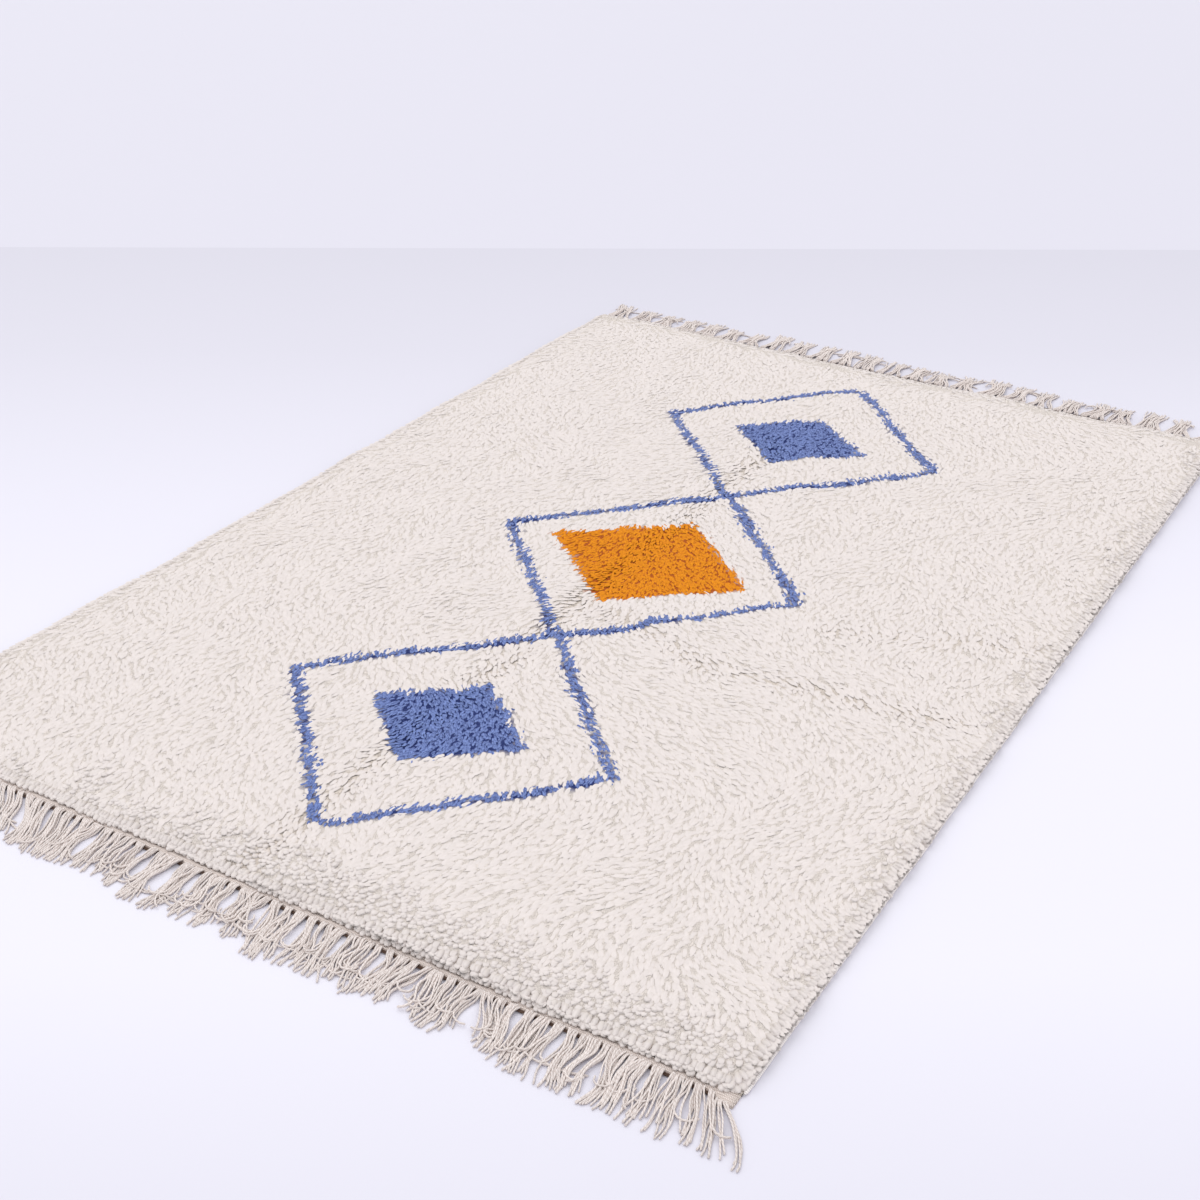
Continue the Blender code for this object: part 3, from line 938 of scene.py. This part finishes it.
def yarn_rows(bunches, splay):
    """For each yarn: where its root and tip are, its bunch's middle, reach, sway and
    turn, and its group's bend."""
    rows = []
    start = -STRIP_HALF
    for root_end, tip_start, tip_end, reach in bunches:
        groups = max(2, round((root_end - start) / GROUP_PITCH))
        bunch_sway = rng.normal(0.0, BUNCH_SWAY)
        bunch_turn = rng.uniform(0, TAU)
        for group in range(groups):
            place = (group + 0.5) / groups
            middle = start + place * (root_end - start) + rng.normal(0.0, GROUP_STRAY)
            middle += rng.uniform(0.2, 1.8) * GROUP_PAIRING * (-1) ** group
            # some groups cross over their neighbours
            aim = np.clip(place + rng.normal(0.0, GROUP_CROSSING), 0.0, 1.0)
            group_tip = tip_start + aim * (tip_end - tip_start)
            group_bend = rng.normal(0.0, GROUP_BEND)
            for yarn in range(YARNS_IN_GROUP):
                off = yarn - (YARNS_IN_GROUP - 1) / 2
                tip = group_tip + rng.normal(off * TIP_SPACING, TIP_STRAY * splay)
                rows.append((
                    middle + off * YARN_SPACING, tip, (tip_start + tip_end + root_end + start) / 4,
                    reach, bunch_sway, bunch_turn, group_bend,
                ))
        start = root_end
    return np.array(rows)


def strip_depth(x, end):
    """Depth of an end strip at x; the front one has a deeper flap at its right end."""
    return STRIP_DEPTH + (end < 0) * FLAP_DEPTH * smoothstep((x - FLAP_START) / FLAP_SLOPE)


def tangle(x, end):
    """How tangled the yarns lie, 0 to 1: most in the middle of the front fringe."""
    return np.exp(-((x - TANGLE_MIDDLE) / TANGLE_WIDTH) ** 2) if end < 0 else BACK_TANGLE


def build_fringe(name, end, bunches, splay, gather, sections):
    """Plied warp ends of one end: groups of yarns that sweep with their bunch, cross
    and splay at the tips."""
    rows = yarn_rows(bunches, splay)
    count = len(rows)
    roots, tips, middles, reaches, sway, turn, bend = (column[:, None] for column in rows.T)
    mess = tangle(roots, end)

    def draw(low, high):
        return rng.uniform(low, high, (count, 1))

    # a short last section, so that the cut end is blunt
    s = np.append(CUT_END * np.linspace(0.0, 1.0, sections - 1) ** 1.25, 1.0)
    s = s * draw(*YARN_SHARES)
    # some yarns run straight to where they turn back in a loop
    loops = draw(0, 1) < LOOPED[0] + LOOPED[1] * mess
    straight = np.minimum(s, np.where(loops, draw(*LOOP_START), 2.0))
    arch = np.sin(math.pi * np.minimum(straight, 1.0))
    x = roots + (tips - roots) * smoothstep(straight ** 0.8)
    x += gather * (middles - x) * arch ** 2
    x += sway * arch * np.sin(TAU * 0.8 * straight + turn) + bend * (0.8 + 0.8 * mess) * arch
    waves = draw(*WAVES)
    phase = draw(0, TAU)
    size = draw(*WAVE_SIZE) * (0.8 + 0.7 * mess) * smoothstep(straight / 0.30)
    x += size * np.sin(TAU * waves * straight + phase)
    y = reaches * straight + 0.0015 * straight * np.sin(TAU * waves * straight + phase * 2)
    # some others sweep aside near their tips
    swept = draw(0, 1) < SWEPT[0] + SWEPT[1] * mess
    sweep = draw(-SWEEP_STRENGTH, SWEEP_STRENGTH)
    sweep = np.where(swept & ~loops, sweep, 0.0)
    sweep *= smoothstep((STRIP_HALF - np.abs(roots)) / SWEEP_FADE)
    past = np.maximum(s - SWEEP_START, 0.0)
    x += SWEEP_REACH * sweep * past ** 1.6
    y -= SWEEP_REACH * np.abs(sweep) * past ** 2
    looped = s - straight
    turned = draw(*LOOP_TURN)
    loop_radius = reaches * LOOP_SHARE / turned
    angle = turned * looped / LOOP_SHARE
    forward = loop_radius * np.sin(angle)
    aside = loop_radius * (1.0 - np.cos(angle)) * np.where(draw(0, 1) < 0.5, -1, 1)
    heading = np.arctan2(tips - roots, reaches)
    x += forward * np.sin(heading) + aside * np.cos(heading)
    y += forward * np.cos(heading) - aside * np.sin(heading)
    radius = draw(*YARN_RADIUS) * (1 + 0.06 * rng.uniform(-1, 1, s.shape))
    layer = rng.integers(0, YARN_LAYERS, (count, 1))
    hump = LAYER_RISE * layer * np.sin(math.pi * np.clip(s * 1.15, 0, 1))
    hump += LOOP_RISE * smoothstep(looped / 0.08)
    # each yarn passes over the header cord
    over_cord = draw(*CORD_RISE) * smoothstep(s / 0.035)
    over_cord *= 1.0 - smoothstep((s - 0.06) / draw(0.12, 0.26))
    z = radius + FLOOR_CLEARANCE + hump + over_cord
    outer = INNER_Y + strip_depth(roots, end) - draw(0.002, 0.005)
    paths = np.stack((x, end * (outer + y), z), -1)
    # painted shade: the yarns under others are drawn a shade deeper
    values = {"tint": rng.uniform(0.0, 0.7, count) + 0.15 * layer[:, 0]}
    item = strands(name, paths, radius[:, 1:-1], radius[:, 1:-1], 4, values, YARN)
    return item


def build_header_cord(name, end):
    """Dark weft cord along the strip's outer edge, which shows between the yarns."""
    across = np.linspace(-STRIP_HALF + HEADER_END, STRIP_HALF - HEADER_END, 160)
    radius = HEADER_RADIUS * (1 + 0.22 * noise_along(across, 0.02, 83.0 + end))
    wander = 0.0014 * noise_along(across, 0.06, 89.0 + end)
    along = end * (INNER_Y + strip_depth(across, end) + HEADER_OFFSET + wander)
    yarn = overcast("header_yarn_" + name, srgb(96, 74, 62), srgb(44, 33, 29))
    item = build_cord(name, across, along, radius, 0.0003, 1.5, 6, yarn)
    return item


def build_strip(name, end):
    """Flat-woven end: rolled weft ridges along the warp ends."""
    across = np.linspace(-STRIP_HALF - 0.005, STRIP_HALF + 0.005, 180)
    x, share = np.meshgrid(across, np.linspace(0.0, 1.0, 3 * STRIP_RIDGES + 1))
    start = HALF_LENGTH - STRIP_OVERLAP
    y = start + share * (INNER_Y - start + strip_depth(x, end))
    ridge = np.abs(np.sin(share * math.pi * STRIP_RIDGES)) ** 0.7
    top = STRIP_BASE + STRIP_RIDGE_HEIGHT * ridge + 0.0006 * noise_at(x, y, 0.02, 73.0)
    top[-1] = 0.0016
    y = y + 0.0018 * noise_along(x, 0.05, 79.0) * smoothstep(share)
    bottom = np.full(x.shape, FLOOR_CLEARANCE)
    if end < 0:
        y, top = -y[::-1], top[::-1]
    weave = woven("strip_weave_" + name, srgb(232, 220, 213), srgb(184, 167, 156), 0.0045, 0.0030)
    item = closed_slab(name, x, y, top, bottom, {}, weave)
    return item


# ---- stage

CAMERA_PLACE = (1.8435, -3.2550, 2.0068)
CAMERA_HEADING = math.radians(31.287)  # from +Y towards -X
AHEAD_X, AHEAD_Y = -math.sin(CAMERA_HEADING), math.cos(CAMERA_HEADING)
CAMERA_PITCH = math.radians(29.259)  # below the horizon
CAMERA_ROLL = math.radians(0.138)
CAMERA_LENS = 52.65
SENSOR_WIDTH = 36.0
BACKDROP_DISTANCE = 6.2  # from the camera along its heading
BACKDROP_SHADE = (210, 208, 218)
FLOOR_SIZE = 80.0
# Painted light pool on the floor: lightest from 2.3 to 3.3 m ahead of the camera, darker nearer and
# further off
PAINTED_LIGHT_POOL = (
    # distance from the camera along its heading, painted shade of the light pool there
    (1.75, (215, 213, 223)),
    (2.30, (225, 223, 232)),
    (3.30, (225, 223, 232)),
    (4.10, (219, 217, 227)),
    (5.20, (208, 206, 216)),
    (6.20, (203, 201, 211)),
)
TONE_RANGE = 8.0  # of distances in the tones' ramp
DOME_COLOUR = (0.97, 0.975, 1.0, 1.0)
DOME_STRENGTH = 1.10
KEY_STRENGTH = 0.72
KEY_SPREAD = math.radians(50)
KEY_ROTATION = (math.radians(-22), math.radians(-34), 0.0)


def build_camera():
    """Camera at the photo's place and angle."""
    data = bpy.data.cameras.new("view")
    data.lens = CAMERA_LENS
    data.sensor_width = SENSOR_WIDTH
    data.clip_end = 100.0
    camera = add_object("view", data)
    level, down = math.cos(CAMERA_PITCH), math.sin(CAMERA_PITCH)
    ahead = np.array((AHEAD_X * level, AHEAD_Y * level, -down))
    right = np.array((AHEAD_Y, -AHEAD_X, 0.0))
    up = np.cross(right, ahead)
    c, s = math.cos(CAMERA_ROLL), math.sin(CAMERA_ROLL)
    axes = np.stack((c * right + s * up, c * up - s * right, -ahead), 1)
    matrix = Matrix(axes.tolist()).to_4x4()
    matrix.translation = CAMERA_PLACE
    camera.matrix_world = matrix
    bpy.context.scene.camera = camera


def build_floor():
    """Pale floor with a painted pool of light, darker nearer to the camera and further off, that turns a
    shade greyer past the backdrop's line.
    """
    bpy.ops.mesh.primitive_plane_add(size=FLOOR_SIZE)
    floor = bpy.context.object
    floor.name = "floor"
    n = Nodes("floor_painted_light_pool", roughness=0.6)
    place = n.split(n.place())
    ahead = n.math("MULTIPLY_ADD", place["Y"], AHEAD_Y, n.math("MULTIPLY", place["X"], AHEAD_X))
    start = CAMERA_PLACE[0] * AHEAD_X + CAMERA_PLACE[1] * AHEAD_Y
    wall = n.math("GREATER_THAN", ahead, BACKDROP_DISTANCE + start)
    # painted light pool, by distance along the camera's heading
    painted_pool = n.node("ShaderNodeValToRGB")
    n.join(n.math("MULTIPLY_ADD", ahead, 1 / TONE_RANGE, -start / TONE_RANGE), painted_pool.inputs["Fac"])
    stops = painted_pool.color_ramp.elements
    for stop, (distance, shade) in zip(stops, (PAINTED_LIGHT_POOL[0], PAINTED_LIGHT_POOL[-1])):
        stop.position, stop.color = distance / TONE_RANGE, srgb(*shade)
    for distance, shade in PAINTED_LIGHT_POOL[1:-1]:
        stops.new(distance / TONE_RANGE).color = srgb(*shade)
    colour = n.mix(wall, painted_pool.outputs["Color"], srgb(*BACKDROP_SHADE))
    floor.data.materials.append(n.finish(colour))


def build_lights():
    """Soft studio light: an even dome and one broad lamp from the upper left."""
    world = bpy.data.worlds.new("studio")
    bpy.context.scene.world = world
    world.use_nodes = True
    background = world.node_tree.nodes["Background"]
    background.inputs["Color"].default_value = DOME_COLOUR
    background.inputs["Strength"].default_value = DOME_STRENGTH
    data = bpy.data.lights.new("key", "SUN")
    data.energy = KEY_STRENGTH
    data.angle = KEY_SPREAD
    add_object("key", data).rotation_euler = KEY_ROTATION
    bpy.context.scene.view_settings.view_transform = "Standard"


# ---- rug

build_camera()
build_floor()
build_lights()
pile_pieces = [*build_pile(), *(rim_locks(*rim) for rim in RIMS), build_core()]
ground = build_ground()
selvages = [build_selvage("selvage_left", -1), build_selvage("selvage_right", 1)]
front_fringe = build_fringe("fringe_yarns_front", -1, FRONT_BUNCHES, splay=0.8, gather=0.18, sections=18)
back_fringe = build_fringe("fringe_yarns_back", 1, back_bunches(), splay=0.4, gather=0.40, sections=11)
ends = [
    build_strip("end_strip_front", -1),
    build_strip("end_strip_back", 1),
    build_header_cord("header_cord_front", -1),
    build_header_cord("header_cord_back", 1),
]

for piece in (*pile_pieces, ground, *selvages, front_fringe, back_fringe, *ends):
    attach(piece, "root")
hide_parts("pile")
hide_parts("fringe_front")
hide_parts("fringe_back")
